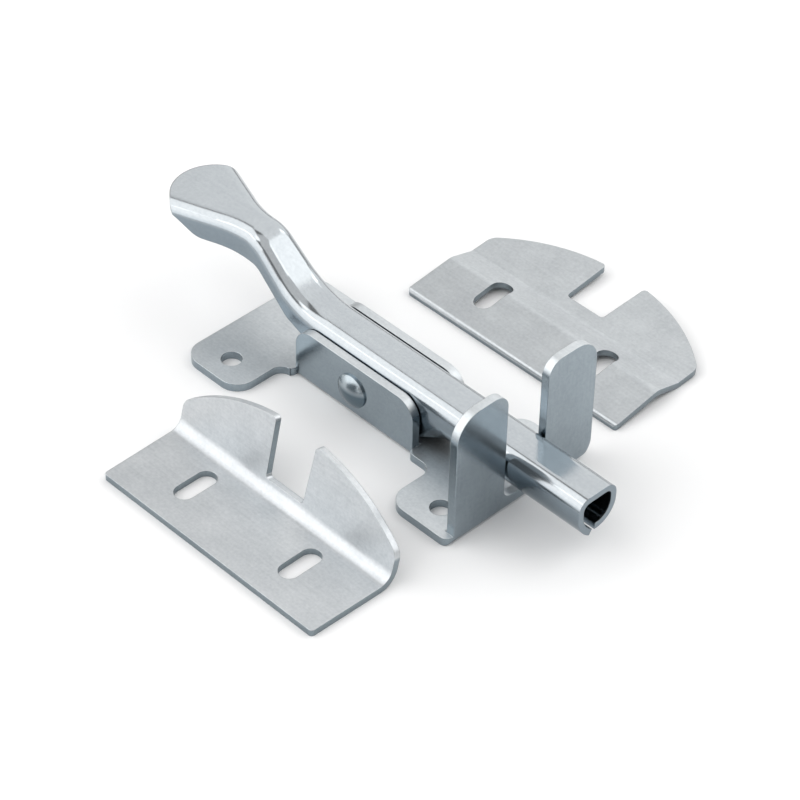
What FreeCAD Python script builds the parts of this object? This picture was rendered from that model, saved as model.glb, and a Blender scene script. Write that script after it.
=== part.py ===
# Gate latch with a thumb lever: a folded bracket that is fixed to the top rail of a gate, a lever that
# rocks on one rivet in it, and two keeps for the post, one angled and one flat.
# Units are millimetres. X runs along the lever to the tip of its bolt, Y across it and Z up. The origin
# lies on the underside of the bracket, straight below the rivet.

import FreeCAD, Part
import math
import os

V = FreeCAD.Vector

# bracket: one folded sheet
SHEET = 2.5                  # its thickness
FOLD_INSIDE = 1.0            # radii of its coined folds
FOLD_OUTSIDE = 1.6
RIVET_HEIGHT = 8.3           # axis of the rivet above the underside
EAR_GAP = 14.6               # between the two ears
EAR_HEIGHT = 17.2
EAR_REAR = 22.2              # rear edge of the ears behind the rivet
EAR_FRONT = 23.1             # front edge of the ears ahead of the rivet
EAR_CORNER = 6.0             # radius of their top corners
PLATE_REAR = 48.2            # rear edge of the plate behind the rivet
PLATE_NEAR = 28.2            # edge of the tabs with the outer screw holes, from the middle
PLATE_FAR = 21.5             # edge of the tabs on the other side
TAB_REAR = 22.1              # length of the rear tabs
TAB_FRONT = 22.3             # length of the front tabs, to the face of the fork
TAB_CORNER = 6.0             # radius of the tabs' corners
TAB_NOTCH = 3.5              # radius where a tab meets the waist
WAIST_STEP = 1.6             # how far the waist stands out from the ears
HOLE = 6.0                   # diameter of the screw holes
HOLE_EDGE = 8.0              # their middle from the edge of a tab
HOLE_REAR = 36.8             # middle of the rear holes behind the rivet
HOLE_FRONT = 44.4            # middle of the front holes ahead of the rivet

# fork: the two uprights folded up from the front of the bracket
FORK_FACE = 54.6             # front face ahead of the rivet
FORK_HEIGHT = 41.3
FORK_PLAY = 0.4              # between the lever and an upright
FORK_WIDTH = 51.2            # over both uprights
FORK_OUTER = 8.0             # radius of their outer top corners
FORK_INNER = 5.0             # radius of their inner top corners
FORK_FOOT = 5.5              # radius of the far upright's foot
SLOT_FLOOR = 4.2             # lowest point of the gap above the underside
SLOT_CORNER = 3.0            # radius of the corners there
PLATE_CORNER = 2.6           # radius of the plate's corner beside the near upright

# lever: one pressed sheet, a channel at the thumb and the rivet and a rolled tube at the bolt
LEVER_SHEET = 1.9
LEVER_GAP = 0.3              # between the lever and an ear
LEVER_TOP = 19.5             # flat top of the bolt
BOLT_TIP = 80.3              # end of the bolt ahead of the rivet
LEVER_ROLL = 4.0             # outside radius of its long top edges
FLANK = 14.0                 # height where the bolt's sides start to curl under
SEAM_STEP = 2.3              # how much wider the near side curls than the far side
SEAM_NEAR = -2.5             # edge of the near lip
SEAM_FAR = -0.6              # edge of the far lip
FOOT = 3.5                   # underside of the channel, just over the bracket's folds
FOOT_FRONT = 20.0            # where the channel starts to curl, ahead of the rivet
TUBE_START = 30.0            # where it has closed into a tube
FOOT_RELIEF = 21.5           # slope of the foot behind the rivet, in degrees
NECK_START = 25.7            # where the top turns up, behind the rivet
NECK_END = 42.6              # where it turns level again
NECK_LOWER_RADIUS = 25.0     # of the lower turn, on the top surface
NECK_UPPER_RADIUS = 11.0     # of the upper turn, on the top surface
NECK_TAPER = 30.0            # where the neck starts to narrow, behind the rivet
NECK_WAIST = 51.0            # where it is narrowest
NECK_WIDTH = 12.2            # its width there, before the curve
THUMB_TOP = 33.2             # top of the thumb plate
THUMB_FLARE = 20.0           # angle of each side, in degrees
THUMB_FLARE_RADIUS = 30.0    # of the curves beside the waist, in plan
THUMB_SIDE = 69.6            # where its sides end, behind the rivet
THUMB_SIDE_ROUND = 7.5       # radius of the corners there
THUMB_POINT = 84.6           # where the lines of its end meet
THUMB_NOSE = 12.5            # radius of its end
SKIRT_DEPTH = 8.4            # of the thumb plate's rolled edges
SKIRT_REAR = 62.0            # rear of the full depth, behind the rivet
SKIRT_RUN = 8.5              # length over which the edges deepen
SKIRT_TURN = 41.5            # where the edges follow the neck down
NECK_SKIRT = 29.0            # where they meet the foot
SKIRT_ROUND = 6.0            # radius where their lower line turns

# rivet
RIVET = 6.0                  # diameter of its shank
RIVET_PLAY = 0.06            # radial play of the lever on it
HEAD = 10.2                  # diameter of its near head
HEAD_HEIGHT = 2.4
TAIL = 9.0                   # diameter of its closed far end
TAIL_HEIGHT = 1.6
HEAD_RIM = 0.5               # straight rim under both domes

# both keeps: a notch for the bolt between two curved ramps
KEEP_SLOT = 6.0              # width of their screw slots
KEEP_SLOT_LENGTH = 13.4      # over both round ends
KEEP_CORNER = 1.0            # radius of the front corners
TIP_ROUND = 1.2              # radius of the tips beside the notch
NOTCH_ROUND = 1.2            # radius at the notch's floor

# angled keep
ANGLE_SHEET = 2.0
ANGLE_MIDDLE = 14.3          # its middle ahead of the rivet
ANGLE_FRONT = -75.2          # its front edge
ANGLE_LENGTH = 79.8          # of its front edge
ANGLE_DEPTH = 28.2           # front edge to the foot of the standing flange
ANGLE_LEAN = 14.0            # of the standing flange, outwards, in degrees
ANGLE_BEND = 4.0             # inside radius
ANGLE_SLOT_U = 20.1          # its slots from the middle
ANGLE_SLOT_V = 14.5          # their middle from the front edge
ANGLE_SHOULDER_WIDTH = 80.8  # over both shoulders
ANGLE_SHOULDER = 9.8         # height of the shoulders along the flange
ANGLE_SHOULDER_ROUND = 4.5   # radius of the shoulders
ANGLE_TIP = 23.4             # height of the tips along the flange
ANGLE_BULGE = 2.7            # rise of each ramp over its chord
ANGLE_NOTCH = 14.0           # width of the notch at its floor
ANGLE_NOTCH_TOP = 15.2       # width of the notch at the tips
ANGLE_NOTCH_FLOOR = 5.0      # height of the notch's floor along the flange

# flat keep, cut from the same blank; its lengths run back from the middle of its front edge
FLAT_SHEET = 2.0
FLAT_MIDDLE = 13.6           # its middle ahead of the rivet
FLAT_FRONT = 36.8            # middle of its front edge
FLAT_TURN = 0.2              # it lies a little askew, in degrees
FLAT_LENGTH = 79.6           # of its front edge
FLAT_TAPER = 19.5            # its ends draw in as far back as this
FLAT_ROLL = 1.2              # radius of the top edge along its front
FLAT_CREST = 16.9            # crest of the low hump across its slots
FLAT_HUMP = 2.3              # how far the hump lifts the sheet off the ground
FLAT_GROUND = 25.4           # where the sheet meets the ground again
FLAT_RISE = 4.5              # slope of the part with the notch, in degrees
FLAT_BEND = 3.0              # inside radius of its shallow folds
FLAT_SLOT_U = 20.1           # its slots from the middle
FLAT_SLOT_V = 14.2           # their middle
FLAT_SHOULDER_WIDTH = 78.8   # over both shoulders
FLAT_SHOULDER = 33.2         # where its shoulders meet the ramps
FLAT_SHOULDER_ROUND = 4.0    # radius of the shoulders
FLAT_TIP = 47.0              # tips beside the notch
FLAT_BULGE = 2.7             # rise of each ramp over its chord
FLAT_NOTCH = 13.6            # width of the notch at its floor
FLAT_NOTCH_TOP = 14.6        # width of the notch at the tips
FLAT_NOTCH_FLOOR = 30.1      # floor of the notch

# sizes that follow
EAR_FACE = EAR_GAP / 2 + SHEET
LEVER_HALF = EAR_GAP / 2 - LEVER_GAP
FORK_GAP = 2 * (LEVER_HALF + FORK_PLAY)
THUMB_BEYOND = THUMB_POINT + THUMB_NOSE# the thumb plate before its end is cut
OVER = 100.0                 # reach of a cutting tool, past any piece
SAME = 1e-5                  # closer than this, two places are one


def corner(before, point, after, radius):
    """Tangent points and middle of an arc that rounds one corner of an outline."""
    a = (before - point).normalize()
    b = (after - point).normalize()
    half = a.getAngle(b) / 2
    run = radius / math.tan(half)
    bisector = (a + b).normalize()
    middle = point + bisector * (radius / math.sin(half) - radius)
    return point + a * run, middle, point + b * run


def rounded(points):
    """Closed wire through (x, y, radius) corners in the XY plane."""
    places = [V(x, y, 0) for x, y, _ in points]
    turns = []
    for i, (_, _, radius) in enumerate(points):
        here = places[i]
        if radius:
            turns.append(corner(places[i - 1], here, places[(i + 1) % len(points)], radius))
        else:
            turns.append((here, None, here))
    edges = []
    for i, (start, middle, end) in enumerate(turns):
        if middle:
            edges.append(Part.Arc(start, middle, end).toShape())
        following = turns[(i + 1) % len(turns)][0]
        if end.distanceToPoint(following) > SAME:
            edges.append(Part.LineSegment(end, following).toShape())
    return Part.Wire(edges)


def inset(points, depth):
    """Corners of an outline moved inwards by depth, each round kept parallel to itself."""
    area = 0
    for i, (x, y, _) in enumerate(points):
        area += points[i - 1][0] * y - x * points[i - 1][1]
    way = math.copysign(1, area)
    moved = []
    for i, (x, y, radius) in enumerate(points):
        following = points[(i + 1) % len(points)]
        arriving = V(x - points[i - 1][0], y - points[i - 1][1]).normalize()
        leaving = V(following[0] - x, following[1] - y).normalize()
        inwards = V(-arriving.y - leaving.y, arriving.x + leaving.x) * way
        place = V(x, y) + inwards * (depth / (1 + arriving.dot(leaving)))
        if radius:
            radius -= math.copysign(depth, way * arriving.cross(leaving).z)
        moved.append((place.x, place.y, radius))
    return moved


def plan(wire, low, high):
    """Solid over an outline drawn in plan."""
    face = Part.Face(wire)
    face.translate(V(0, 0, low))
    return face.extrude(V(0, 0, high - low))


def side(wire, low, high):
    """Solid across the latch from an outline drawn as (x, z)."""
    face = Part.Face(wire)
    face.rotate(V(0, 0, 0), V(1, 0, 0), 90)
    face.translate(V(0, low, 0))
    return face.extrude(V(0, high - low, 0))


def front(wire, low, high):
    """Solid along the latch from an outline drawn as (y, z)."""
    face = Part.Face(wire)
    face.rotate(V(0, 0, 0), V(1, 1, 1), 120)
    face.translate(V(low, 0, 0))
    return face.extrude(V(high - low, 0, 0))


def pin(radius, x, z, low, high):
    """Round bar across the latch."""
    return Part.makeCylinder(radius, high - low, V(x, low, z), V(0, 1, 0))


def bracket_plate():
    """Flat of the bracket: four tabs and a waist that clears the folds of the ears."""
    fold = EAR_FACE - SHEET - FOLD_INSIDE
    waist = EAR_FACE + WAIST_STEP
    rear_tab = TAB_REAR - PLATE_REAR
    front_tab = FORK_FACE - TAB_FRONT
    last = FORK_FACE - SHEET - FOLD_INSIDE

    def half(edge):
        return [
            (-PLATE_REAR, edge, TAB_CORNER),
            (rear_tab, edge, TAB_CORNER),
            (rear_tab, waist, TAB_NOTCH),
            (-EAR_REAR, waist, WAIST_STEP),
            (-EAR_REAR, fold, 0),
            (EAR_FRONT, fold, 0),
            (EAR_FRONT, waist, WAIST_STEP),
            (front_tab, waist, TAB_NOTCH),
            (front_tab, edge, TAB_CORNER),
            (last, edge, 0),
        ]

    near = [(x, -y, r) for x, y, r in half(PLATE_NEAR)]
    return plan(rounded(near + half(PLATE_FAR)[::-1]), 0, SHEET)


def bracket_ears():
    """Both ears with their folds, a channel along X whose top corners are rounded."""
    inside = EAR_GAP / 2
    section = [
        (-EAR_FACE, 0, FOLD_OUTSIDE),
        (EAR_FACE, 0, FOLD_OUTSIDE),
        (EAR_FACE, EAR_HEIGHT, 0),
        (inside, EAR_HEIGHT, 0),
        (inside, SHEET, FOLD_INSIDE),
        (-inside, SHEET, FOLD_INSIDE),
        (-inside, EAR_HEIGHT, 0),
        (-EAR_FACE, EAR_HEIGHT, 0),
    ]
    channel = front(rounded(section), -EAR_REAR, EAR_FRONT)
    outline = [
        (-EAR_REAR, 0, 0),
        (EAR_FRONT, 0, 0),
        (EAR_FRONT, EAR_HEIGHT, EAR_CORNER),
        (-EAR_REAR, EAR_HEIGHT, EAR_CORNER),
    ]
    return channel.common(side(rounded(outline), -EAR_FACE, EAR_FACE))


def bracket_fork():
    """Both uprights with the fold at their foot, cut to their outline as seen from the bolt's tip."""
    last = FORK_FACE - SHEET - FOLD_INSIDE
    profile = [
        (last, 0, 0),
        (FORK_FACE, 0, FOLD_OUTSIDE),
        (FORK_FACE, FORK_HEIGHT, 0),
        (FORK_FACE - SHEET, FORK_HEIGHT, 0),
        (FORK_FACE - SHEET, SHEET, FOLD_INSIDE),
        (last, SHEET, 0),
    ]
    half = FORK_WIDTH / 2
    gap = FORK_GAP / 2
    uprights = [
        (-PLATE_NEAR, 0, 0),
        (half, 0, FORK_FOOT),
        (half, FORK_HEIGHT, FORK_OUTER),
        (gap, FORK_HEIGHT, FORK_INNER),
        (gap, SLOT_FLOOR, SLOT_CORNER),
        (-gap, SLOT_FLOOR, SLOT_CORNER),
        (-gap, FORK_HEIGHT, FORK_INNER),
        (-half, FORK_HEIGHT, FORK_OUTER),
        (-half, SHEET, 0),
        (-PLATE_NEAR, SHEET, 0),
    ]
    outline = [
        (last, -PLATE_NEAR, 0),
        (FORK_FACE, -PLATE_NEAR, PLATE_CORNER),
        (FORK_FACE, half, 0),
        (last, half, 0),
    ]
    folded = side(rounded(profile), -PLATE_NEAR, half)
    seen_from_tip = front(rounded(uprights), last, FORK_FACE)
    seen_from_above = plan(rounded(outline), 0, FORK_HEIGHT)
    return folded.common(seen_from_tip).common(seen_from_above)


def base_bracket():
    body = bracket_plate().fuse([bracket_ears(), bracket_fork()])
    holes = []
    for x in (-HOLE_REAR, HOLE_FRONT):
        for y in (HOLE_EDGE - PLATE_NEAR, PLATE_FAR - HOLE_EDGE):
            holes.append(Part.makeCylinder(HOLE / 2, SHEET, V(x, y, 0)))
    holes.append(pin(RIVET / 2, 0, RIVET_HEIGHT, -EAR_FACE, EAR_FACE))
    return body.cut(holes).removeSplitter()


def lever_plan():
    """Lever from above, its thumb end left long: straight sides, tapered neck and flared thumb plate."""
    flare = (THUMB_BEYOND - NECK_WAIST) * math.tan(math.radians(THUMB_FLARE))
    half = [
        (TUBE_START, LEVER_HALF, 0),
        (-NECK_TAPER, LEVER_HALF, THUMB_FLARE_RADIUS),
        (-NECK_WAIST, NECK_WIDTH / 2, THUMB_FLARE_RADIUS),
        (-THUMB_BEYOND, NECK_WIDTH / 2 + flare, 0),
    ]
    return half + [(x, -y, r) for x, y, r in half[::-1]]


def lever_profile():
    """Lever's top line from the side, closed far below."""
    return [
        (-THUMB_BEYOND, THUMB_TOP, 0),
        (-NECK_END, THUMB_TOP, NECK_UPPER_RADIUS),
        (-NECK_START, LEVER_TOP, NECK_LOWER_RADIUS),
        (TUBE_START, LEVER_TOP, 0),
        (TUBE_START, -OVER, 0),
        (-THUMB_BEYOND, -OVER, 0),
    ]


def lever_blank(depth):
    """Solid under the lever's top surface moved inwards by depth, with its long edges rolled over."""
    seen_from_side = rounded(inset(lever_profile(), depth))
    seen_from_above = rounded(inset(lever_plan(), depth))
    bar = side(seen_from_side, -OVER, OVER).common(plan(seen_from_above, -OVER, OVER))
    for way in (-1, 1):
        place = Part.Vertex(-NECK_START, way * (LEVER_HALF - depth), LEVER_TOP - depth)
        edge = min(bar.Edges, key=lambda e: e.distToShape(place)[0])
        bar = bar.makeFillet(LEVER_ROLL - depth, [edge])
    return bar


def lever_side():
    """The channel's outline from the side: thumb plate, rolled edges, neck and foot."""
    relief = math.radians(FOOT_RELIEF)
    reach = RIVET_HEIGHT - FOOT
    turn = -reach * math.tan(relief / 2)
    neck = FOOT + (NECK_SKIRT + turn) * math.tan(relief)
    skirt = THUMB_TOP - SKIRT_DEPTH
    under = THUMB_TOP - LEVER_SHEET
    return [
        (-THUMB_BEYOND, THUMB_TOP + LEVER_SHEET, 0),
        (-THUMB_BEYOND, under, 0),
        (-SKIRT_REAR - SKIRT_RUN, under, 2 * SKIRT_ROUND),
        (-SKIRT_REAR, skirt, SKIRT_ROUND),
        (-SKIRT_TURN, skirt, SKIRT_ROUND),
        (-NECK_SKIRT, neck, SKIRT_ROUND),
        (turn, FOOT, reach),
        (FOOT_FRONT, FOOT, 0),
        (FOOT_FRONT, THUMB_TOP + LEVER_SHEET, 0),
    ]


def lever_channel():
    """Thumb plate, neck and straight channel."""
    sheet = lever_blank(0).cut(lever_blank(LEVER_SHEET))
    sheet = sheet.common(side(rounded(lever_side()), -OVER, OVER))
    wide = NECK_WIDTH / 2 + (THUMB_SIDE - NECK_WAIST) * math.tan(math.radians(THUMB_FLARE))
    end = [
        (OVER, -wide, 0),
        (-THUMB_SIDE, -wide, THUMB_SIDE_ROUND),
        (-THUMB_POINT, 0, THUMB_NOSE),
        (-THUMB_SIDE, wide, THUMB_SIDE_ROUND),
        (OVER, wide, 0),
    ]
    return sheet.common(plan(rounded(end), -OVER, OVER))


def wall(way, depth, curl, lip):
    """Points of one side of the lever's section, moved inwards by depth, from its top to its lower edge."""
    half = LEVER_HALF - depth
    bow = (LEVER_ROLL - depth) * math.sqrt(0.5)
    level = LEVER_TOP - LEVER_ROLL
    points = [
        V(0, way * (LEVER_HALF - LEVER_ROLL), LEVER_TOP - depth),
        V(0, way * (LEVER_HALF - LEVER_ROLL + bow), level + bow),
        V(0, way * half, level),
        V(0, way * half, FLANK),
    ]
    if not curl:
        return points + [V(0, way * half, (FLANK + FOOT) / 2), V(0, way * half, FOOT)]
    middle = V(0, way * (LEVER_HALF - curl), FLANK)
    last = math.acos((way * lip - way * middle.y) / curl)
    for turn in (last / 2, last):
        reach = V(0, way * math.cos(turn), -math.sin(turn))
        points.append(middle + reach * (curl - depth))
    return points


def lever_section(x, curls, lips):
    """Closed wire of the lever's section at x, as one sheet bent round from lip to lip."""

    def strand(points):
        arc = Part.Arc(points[0], points[1], points[2]).toShape()
        flank = Part.LineSegment(points[2], points[3]).toShape()
        straight = abs(points[3].y - points[5].y) < SAME
        skirt = Part.LineSegment(points[3], points[5]) if straight else Part.Arc(*points[3:])
        return [arc, flank, skirt.toShape()]

    loops = []
    for depth in (0, LEVER_SHEET):
        for way, curl, lip in zip((-1, 1), curls, lips):
            loops.append(wall(way, depth, curl, lip))
    near, far, near_in, far_in = loops
    edges = strand(near)[::-1]
    edges.append(Part.LineSegment(near[0], far[0]).toShape())
    edges += strand(far)
    edges.append(Part.LineSegment(far[5], far_in[5]).toShape())
    edges += strand(far_in)[::-1]
    edges.append(Part.LineSegment(far_in[0], near_in[0]).toShape())
    edges += strand(near_in)
    edges.append(Part.LineSegment(near_in[5], near[5]).toShape())
    wire = Part.Wire(edges)
    wire.translate(V(x, 0, 0))
    return wire


def lever_bolt():
    """From the channel's straight sides the sheet curls into a tube with a seam below."""
    closed = ((LEVER_HALF + SEAM_STEP, LEVER_HALF), (SEAM_NEAR, SEAM_FAR))
    channel = lever_section(FOOT_FRONT, (0, 0), (0, 0))
    start = lever_section(TUBE_START, *closed)
    turn = Part.makeLoft([channel, start], True, True)
    tube = Part.Face(start).extrude(V(BOLT_TIP - TUBE_START, 0, 0))
    return [turn, tube]


def latch_lever():
    bore = pin(RIVET / 2 + RIVET_PLAY, 0, RIVET_HEIGHT, -LEVER_HALF, LEVER_HALF)
    return lever_channel().fuse(lever_bolt()).cut(bore).removeSplitter()


def pivot_rivet():
    """Shank with a domed head on the near ear and a lower one closed over the far ear."""

    def dome(diameter, height, face, way):
        rise = height - HEAD_RIM
        radius = ((diameter / 2) ** 2 + rise ** 2) / (2 * rise)
        rim = Part.makeCylinder(diameter / 2, height, V(0, face, RIVET_HEIGHT), V(0, way, 0))
        ball = Part.makeSphere(radius, V(0, face + way * (height - radius), RIVET_HEIGHT))
        return rim.common(ball)

    shank = pin(RIVET / 2, 0, RIVET_HEIGHT, -EAR_FACE, EAR_FACE)
    head = dome(HEAD, HEAD_HEIGHT, -EAR_FACE, -1)
    tail = dome(TAIL, TAIL_HEIGHT, EAR_FACE, 1)
    return shank.fuse([head, tail]).removeSplitter()


def keep_slots(offset, middle, thickness):
    """Two slots that run from front to back."""
    ends = (KEEP_SLOT_LENGTH - KEEP_SLOT) / 2
    cuts = []
    for u in (-offset, offset):
        for v in (middle - ends, middle + ends):
            cuts.append(Part.makeCylinder(KEEP_SLOT / 2, thickness, V(u, v, 0)))
        cuts.append(Part.makeBox(KEEP_SLOT, 2 * ends, thickness, V(u - KEEP_SLOT / 2, middle - ends, 0)))
    return cuts


def ramps(ends, shoulder, tip, bulge, notch):
    """Face of a keep: two ends from the foot up, two curved ramps and the notch between them."""
    chord = V(shoulder[0] - tip[0], shoulder[1] - tip[1])
    middle = V((shoulder[0] + tip[0]) / 2, (shoulder[1] + tip[1]) / 2)
    middle = middle + V(-chord.y, chord.x).normalize() * bulge
    right = [V(x, y) for x, y in ends + [shoulder]]
    left = [V(-p.x, p.y) for p in right[::-1]]
    inner = [V(tip[0], tip[1]), V(notch[0], notch[1]), V(-notch[0], notch[1]), V(-tip[0], tip[1])]
    edges = [Part.makePolygon(right), Part.makePolygon(inner), Part.makePolygon(left)]
    edges.append(Part.Arc(right[-1], middle, inner[0]).toShape())
    edges.append(Part.Arc(inner[-1], V(-middle.x, middle.y), left[0]).toShape())
    edges.append(Part.LineSegment(left[-1], right[0]).toShape())
    loose = [edge for piece in edges for edge in piece.Edges]
    return Part.Face(Part.Wire(Part.__sortEdges__(loose)))


def keep_blank(thickness, outline, corners):
    """Flat sheet of a keep. Corners pairs a distance from the foot with the radius of the corners there."""
    blank = outline.extrude(V(0, 0, thickness))
    for place, radius in corners:
        through = [e for e in blank.Edges if abs(e.Length - thickness) < SAME]
        blank = blank.makeFillet(radius, [e for e in through if abs(e.CenterOfMass.y - place) < SAME])
    return blank


def flat_keep():
    """A sheet with a low hump across its slots, cut to its outline as seen from above."""
    top = FLAT_HUMP + FLAT_SHEET
    rise = (OVER - FLAT_GROUND) * math.tan(math.radians(FLAT_RISE))
    profile = [
        (0, 0, 0),
        (0, FLAT_SHEET, FLAT_ROLL),
        (FLAT_CREST, top, FLAT_BEND + FLAT_SHEET),
        (FLAT_GROUND, FLAT_SHEET, FLAT_BEND),
        (OVER, rise + FLAT_SHEET, 0),
        (OVER, rise, 0),
        (FLAT_GROUND, 0, FLAT_BEND + FLAT_SHEET),
        (FLAT_CREST, FLAT_HUMP, FLAT_BEND),
    ]
    outline = ramps(
        [(FLAT_LENGTH / 2, 0), (FLAT_SHOULDER_WIDTH / 2, FLAT_TAPER)],
        (FLAT_SHOULDER_WIDTH / 2, FLAT_SHOULDER), (FLAT_NOTCH_TOP / 2, FLAT_TIP), FLAT_BULGE,
        (FLAT_NOTCH / 2, FLAT_NOTCH_FLOOR),
    )
    seen_from_above = keep_blank(OVER, outline, [
        (0, KEEP_CORNER),
        (FLAT_SHOULDER, FLAT_SHOULDER_ROUND),
        (FLAT_TIP, TIP_ROUND),
        (FLAT_NOTCH_FLOOR, NOTCH_ROUND),
    ])
    sheet = front(rounded(profile), -OVER, OVER).common(seen_from_above)
    keep = sheet.cut(keep_slots(FLAT_SLOT_U, FLAT_SLOT_V, top))
    keep.rotate(V(0, 0, 0), V(0, 0, 1), FLAT_TURN)
    keep.translate(V(FLAT_MIDDLE, FLAT_FRONT, 0))
    return keep.removeSplitter()


def angle_keep():
    """Base with two slots, a wide fold, and a standing flange that leans outwards."""
    turn = math.radians(90 - ANGLE_LEAN)
    outside = ANGLE_BEND + ANGLE_SHEET
    run = outside * math.tan(turn / 2)
    fold = ANGLE_DEPTH - run
    foot = ANGLE_LENGTH / 2
    half = ANGLE_SHOULDER_WIDTH / 2

    base = Part.Face(rounded([
        (-foot, 0, KEEP_CORNER),
        (foot, 0, KEEP_CORNER),
        (half, fold, 0),
        (-half, fold, 0),
    ])).extrude(V(0, 0, ANGLE_SHEET))
    base = base.cut(keep_slots(ANGLE_SLOT_U, ANGLE_SLOT_V, ANGLE_SHEET))

    section = Part.Face(Part.makePolygon([
        V(-half, fold, 0),
        V(half, fold, 0),
        V(half, fold, ANGLE_SHEET),
        V(-half, fold, ANGLE_SHEET),
        V(-half, fold, 0),
    ]))
    bend = section.revolve(V(0, fold, outside), V(1, 0, 0), math.degrees(turn))

    outline = ramps(
        [(half, run)], (half, ANGLE_SHOULDER), (ANGLE_NOTCH_TOP / 2, ANGLE_TIP), ANGLE_BULGE,
        (ANGLE_NOTCH / 2, ANGLE_NOTCH_FLOOR),
    )
    flange = keep_blank(ANGLE_SHEET, outline, [
        (ANGLE_SHOULDER, ANGLE_SHOULDER_ROUND),
        (ANGLE_TIP, TIP_ROUND),
        (ANGLE_NOTCH_FLOOR, NOTCH_ROUND),
    ])
    flange.rotate(V(0, 0, 0), V(1, 0, 0), math.degrees(turn))
    flange.translate(V(0, ANGLE_DEPTH, 0))
    keep = base.fuse([bend, flange])
    keep.translate(V(ANGLE_MIDDLE, ANGLE_FRONT, 0))
    return keep.removeSplitter()


def save(name, shape):
    if not shape.isValid() or shape.Volume <= 0:
        raise ValueError(name + " is not a sound solid")
    shape.exportStep("parts/" + name + ".step")
    print(name, "solids", len(shape.Solids), "volume", round(shape.Volume, 1))


os.makedirs("parts", exist_ok=True)
save("base_bracket", base_bracket())
save("latch_lever", latch_lever())
save("pivot_rivet", pivot_rivet())
save("angle_keep", angle_keep())
save("flat_keep", flat_keep())
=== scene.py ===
"""Looks of the gate latch: zinc plated pressed steel on a plain pale floor under soft studio light.

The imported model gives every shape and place. This script adds the plating on each piece, the floor, the
light and the camera. Lengths are in metres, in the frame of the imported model.
"""

import math

import bpy
from mathutils import Matrix, Quaternion, Vector

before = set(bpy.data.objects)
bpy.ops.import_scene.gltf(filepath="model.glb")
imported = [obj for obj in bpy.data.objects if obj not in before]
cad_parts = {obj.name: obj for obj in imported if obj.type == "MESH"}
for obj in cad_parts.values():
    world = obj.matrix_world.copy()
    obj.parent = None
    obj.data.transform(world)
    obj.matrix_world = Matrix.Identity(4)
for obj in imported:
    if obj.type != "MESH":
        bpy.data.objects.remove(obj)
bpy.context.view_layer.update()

# Base bracket. One piece of steel sheet, punched and folded up into two ears and the fork, then zinc plated.
# The plating is a soft, cool light grey with faint streaks from the rolled sheet. The folding tool has
# burnished the ears and the fork, so they are shinier than the plate. Their colour, and that of every face
# that stands or looks down, is darker by painted shade.
mm = 0.001


def linear(hex_colour):
    """Linear colour of an sRGB hex value."""
    parts = [int(hex_colour[i : i + 2], 16) / 255 for i in (1, 3, 5)]
    return (*[p / 12.92 if p <= 0.04045 else ((p + 0.055) / 1.055) ** 2.4 for p in parts], 1.0)


def add(tree, kind, settings, inputs):
    """A node with its settings. Each input is a value, or the socket that feeds it."""
    node = tree.nodes.new(kind)
    for name, value in settings.items():
        setattr(node, name, value)
    for name, value in inputs.items():
        if isinstance(value, bpy.types.NodeSocket):
            tree.links.new(value, node.inputs[name])
        else:
            node.inputs[name].default_value = value
    return node


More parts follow.
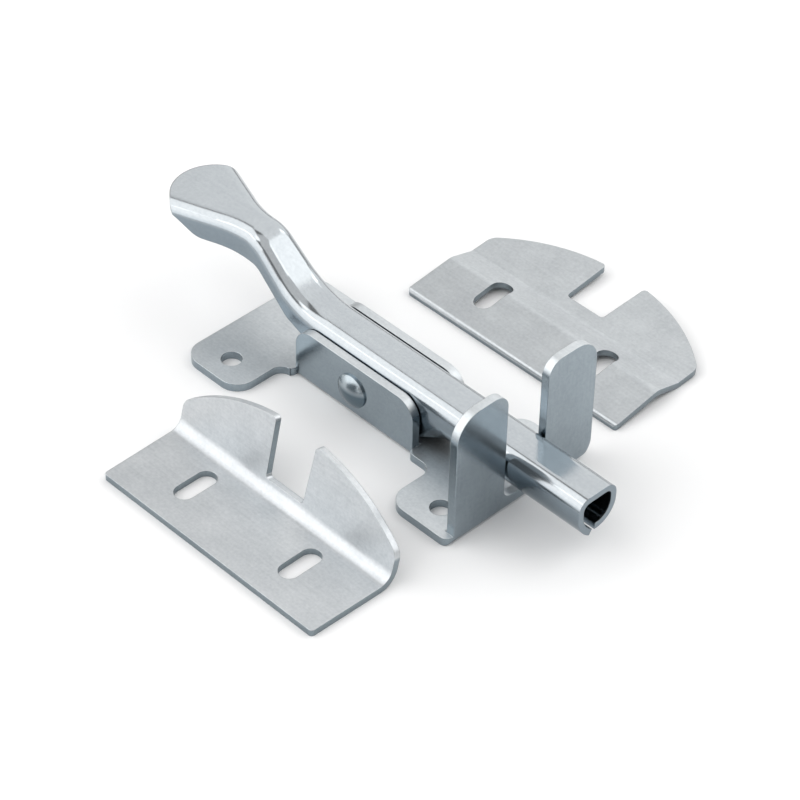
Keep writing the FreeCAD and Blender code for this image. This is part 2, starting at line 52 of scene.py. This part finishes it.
def zinc_plating(name, light, dark, painted_shade, lean, streak, depth, roughness, burnish, edge):
    """Zinc plating over steel, between its dark and light tones.

    The painted shade colour is multiplied into the faces that stand or look down, and burnish is their
    roughness.
    Both set in where the upward part of a face's normal falls below lean. Streak is the size of the rolling
    marks along
    X, Y and Z, depth the height of their relief, and edge the radius of the worn corners.
    """
    material = bpy.data.materials.new(name)
    material.use_nodes = True
    tree = material.node_tree
    tree.nodes.clear()

    # Three patterns share the tone: the rolling marks, wide soft clouds from the plating bath, and its grain.
    # The real marks and grain are finer than a picture of the whole latch shows, so they are drawn coarser.
    cloud = 9 * mm
    grit = 0.9 * mm
    place = add(tree, "ShaderNodeTexCoord", {}, {}).outputs["Object"]
    stretched = add(tree, "ShaderNodeMapping", {}, {"Vector": place, "Scale": [1 / size for size in streak]})
    marks = add(tree, "ShaderNodeTexNoise", {}, {
        "Vector": stretched.outputs["Vector"], "Scale": 1.0, "Detail": 3.0, "Roughness": 0.6,
    })
    clouds = add(tree, "ShaderNodeTexNoise", {}, {
        "Vector": place, "Scale": 1 / cloud, "Detail": 3.0, "Roughness": 0.55,
    })
    grain = add(tree, "ShaderNodeTexNoise", {}, {
        "Vector": place, "Scale": 1 / grit, "Detail": 2.0, "Roughness": 0.6,
    })
    tone = 0.0
    for pattern, share in ((marks, 0.25), (clouds, 0.35), (grain, 0.40)):
        tone = add(tree, "ShaderNodeMath", {"operation": "MULTIPLY_ADD"}, {
            0: pattern.outputs["Fac"], 1: share, 2: tone,
        }).outputs[0]
    shade = add(tree, "ShaderNodeMapRange", {}, {
        "Value": tone, "From Min": 0.35, "From Max": 0.65, "To Min": 0.0, "To Max": 1.0,
    })
    colour = add(tree, "ShaderNodeMix", {"data_type": "RGBA"}, {
        "Factor": shade.outputs[0], 6: linear(dark), 7: linear(light),
    })

    # Painted shade: a face takes the darker colour in full where the upward part of its normal is a quarter
    # of lean or less.
    normal = add(tree, "ShaderNodeTexCoord", {}, {}).outputs["Normal"]
    upward = add(tree, "ShaderNodeSeparateXYZ", {}, {0: normal}).outputs["Z"]
    standing = add(tree, "ShaderNodeMapRange", {}, {
        "Value": upward, "From Min": lean / 4, "From Max": lean, "To Min": 1.0, "To Max": 0.0,
    })
    colour = add(tree, "ShaderNodeMix", {"data_type": "RGBA", "blend_type": "MULTIPLY"}, {
        "Factor": standing.outputs[0], 6: colour.outputs[2], 7: linear(painted_shade),
    })
    # Where burnish is no different, roughness goes straight to the shader.
    if burnish != roughness:
        roughness = add(tree, "ShaderNodeMapRange", {}, {
            "Value": standing.outputs[0], "From Min": 0.0, "From Max": 1.0,
            "To Min": roughness, "To Max": burnish,
        }).outputs[0]

    soft_edge = add(tree, "ShaderNodeBevel", {"samples": 6}, {"Radius": edge})
    height = add(tree, "ShaderNodeMath", {"operation": "MULTIPLY_ADD"}, {
        0: grain.outputs["Fac"], 1: 0.4, 2: marks.outputs["Fac"],
    })
    relief = add(tree, "ShaderNodeBump", {}, {
        "Strength": 1.0, "Distance": depth, "Height": height.outputs[0],
        "Normal": soft_edge.outputs["Normal"],
    })
    shader = add(tree, "ShaderNodeBsdfPrincipled", {}, {
        "Base Color": colour.outputs[2], "Metallic": 1.0, "Roughness": roughness,
        "Normal": relief.outputs["Normal"],
    })
    add(tree, "ShaderNodeOutputMaterial", {}, {"Surface": shader.outputs["BSDF"]})
    return material


def plate(node_name, material):
    """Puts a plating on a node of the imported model, in place of the plain finish it comes with."""
    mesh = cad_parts[node_name].data
    mesh.materials.clear()
    mesh.materials.append(material)


bracket_zinc = zinc_plating(
    "zinc plated sheet steel, bracket",
    light="#DBDFE1", dark="#C6CBCE", painted_shade="#B5BEC4", lean=0.6,
    streak=(14 * mm, 0.6 * mm, 14 * mm), depth=0.0002 * mm,
    roughness=0.44, burnish=0.20, edge=0.3 * mm,
)
plate("base_bracket", bracket_zinc)

# Pivot rivet. A steel rivet with a domed head on the near ear, closed over the far one, then zinc plated. The
# die leaves the head smooth, so it holds a small bright glint on a darker dome. The lower part of the dome,
# where it turns down, is darker still by painted shade.
rivet_zinc = zinc_plating(
    "zinc plated steel, rivet head",
    light="#AEB7BC", dark="#A6B0B6", painted_shade="#98A4AB", lean=0.24,
    streak=(2 * mm, 2 * mm, 2 * mm), depth=0.001 * mm,
    roughness=0.25, burnish=0.25, edge=0.2 * mm,
)
plate("pivot_rivet", rivet_zinc)

# Latch lever. One pressed blank: thumb plate, neck and channel, rolled into a tube at the bolt. The press and
# the rolls leave it the smoothest of the set, so clear bright and dark bands of reflection run along its
# rolled edges. Its sides, the steep part of its rolled edges and its undersides are darker by painted shade.
lever_zinc = zinc_plating(
    "zinc plated pressed steel, lever",
    light="#B6BBBE", dark="#ACB1B5", painted_shade="#C4CED5", lean=0.6,
    streak=(20 * mm, 0.8 * mm, 0.8 * mm), depth=0.0004 * mm,
    roughness=0.15, burnish=0.20, edge=0.3 * mm,
)
plate("latch_lever", lever_zinc)

# Angled keep. One blank of sheet steel with its ramps folded up, zinc plated. The plating is duller than the
# lever's. Its cut edges, and the other faces that stand near upright or look down, are darker by painted
# shade.
angle_keep_zinc = zinc_plating(
    "zinc plated sheet steel, angled keep",
    light="#D0D3D5", dark="#BBBFC2", painted_shade="#B4BEC3", lean=0.2,
    streak=(14 * mm, 0.6 * mm, 0.6 * mm), depth=0.0002 * mm,
    roughness=0.38, burnish=0.30, edge=0.3 * mm,
)
plate("angle_keep", angle_keep_zinc)

# Flat keep. A blank from the same die that is left flat but for a low hump. It is as dull as the angled keep,
# and a little darker in tone. Like it, its cut edges and the faces that stand or look down carry painted
# shade.
flat_keep_zinc = zinc_plating(
    "zinc plated sheet steel, flat keep",
    light="#C6CACC", dark="#B1B5B8", painted_shade="#B8C1C6", lean=0.2,
    streak=(14 * mm, 0.6 * mm, 0.6 * mm), depth=0.0002 * mm,
    roughness=0.38, burnish=0.30, edge=0.3 * mm,
)
plate("flat_keep", flat_keep_zinc)

# Floor. A wide sheet of matt white board under the latch, which is also the background. It takes the soft
# shadow of each piece.
board_width = 12.0
bpy.ops.object.select_all(action="DESELECT")
bpy.ops.mesh.primitive_plane_add(size=board_width, location=(0, 0, 0))
floor = bpy.context.object
floor.name = "floor"
board = bpy.data.materials.new("matt white board")
board.use_nodes = True
board.node_tree.nodes.clear()
matt = add(board.node_tree, "ShaderNodeBsdfDiffuse", {}, {"Color": linear("#FAFAFA")})
add(board.node_tree, "ShaderNodeOutputMaterial", {}, {"Surface": matt.outputs[0]})
floor.data.materials.append(board)

# Light. A pale room, a little darker overhead, with five soft panels two metres from the latch. Top faces
# mirror the one behind it, rolled edges the ones over it and on its left, and the neck the one on its right.
# The one at the top fills in.
scene = bpy.context.scene
world = bpy.data.worlds.new("pale room")
scene.world = world
world.use_nodes = True
world.node_tree.nodes.clear()
way_out = add(world.node_tree, "ShaderNodeTexCoord", {}, {}).outputs["Generated"]
rise = add(world.node_tree, "ShaderNodeSeparateXYZ", {}, {0: way_out}).outputs["Z"]
glow = add(world.node_tree, "ShaderNodeMapRange", {}, {
    "Value": rise, "From Min": 0.0, "From Max": 0.9, "To Min": 0.34, "To Max": 0.28,
})
room = add(world.node_tree, "ShaderNodeBackground", {}, {
    "Color": linear("#FFFFFF"), "Strength": glow.outputs[0],
})
add(world.node_tree, "ShaderNodeOutputWorld", {}, {"Surface": room.outputs[0]})


def softbox(name, azimuth, elevation, turn, size, brightness):
    """A flat panel that faces the latch: its direction and turn in degrees, its size and its brightness."""
    distance = 2.0
    across = math.cos(math.radians(elevation))
    way = Vector((
        across * math.cos(math.radians(azimuth)),
        across * math.sin(math.radians(azimuth)),
        math.sin(math.radians(elevation)),
    ))
    lamp = bpy.data.lights.new(name, "AREA")
    lamp.shape = "RECTANGLE"
    lamp.size, lamp.size_y = size
    lamp.energy = brightness * math.pi * size[0] * size[1]
    holder = bpy.data.objects.new(name, lamp)
    scene.collection.objects.link(holder)
    holder.location = distance * way
    facing = way.to_track_quat("Z", "Y") @ Quaternion((0, 0, 1), math.radians(turn))
    holder.rotation_euler = facing.to_euler()


softbox("lamp_behind", 112, 36, 0, (1.90, 2.20), 0.97)
softbox("lamp_over", 209, 57, 20, (2.12, 1.20), 1.52)
softbox("lamp_left", 245, 23, 0, (3.00, 1.80), 1.55)
softbox("lamp_right", 57, 31, 0, (1.64, 1.88), 1.66)
softbox("lamp_top", 350, 72, 0, (2.40, 2.00), 0.65)

# Camera. It stands at the photograph's angle, off the end of the bolt and on the rivet head's side, and looks
# down at the latch through a long lens.
azimuth, elevation, roll = (math.radians(angle) for angle in (44.89, 41.23, 1.43))
aim = Vector((4.8, 3.6, 0.0)) * mm
distance = 866.6 * mm
back = Vector((
    math.sin(azimuth) * math.cos(elevation),
    -math.cos(azimuth) * math.cos(elevation),
    math.sin(elevation),
))
level = Vector((math.cos(azimuth), math.sin(azimuth), 0.0))
upright = back.cross(level)
right = level * math.cos(roll) + upright * math.sin(roll)
up = upright * math.cos(roll) - level * math.sin(roll)
lens = bpy.data.cameras.new("camera")
lens.sensor_width = 36.0
lens.lens = 144.05
lens.clip_start = 0.05
camera = bpy.data.objects.new("camera", lens)
scene.collection.objects.link(camera)
turned = Matrix((right, up, back)).transposed().to_4x4()
camera.matrix_world = Matrix.Translation(aim + back * distance) @ turned
scene.camera = camera
scene.view_settings.view_transform = "Standard"
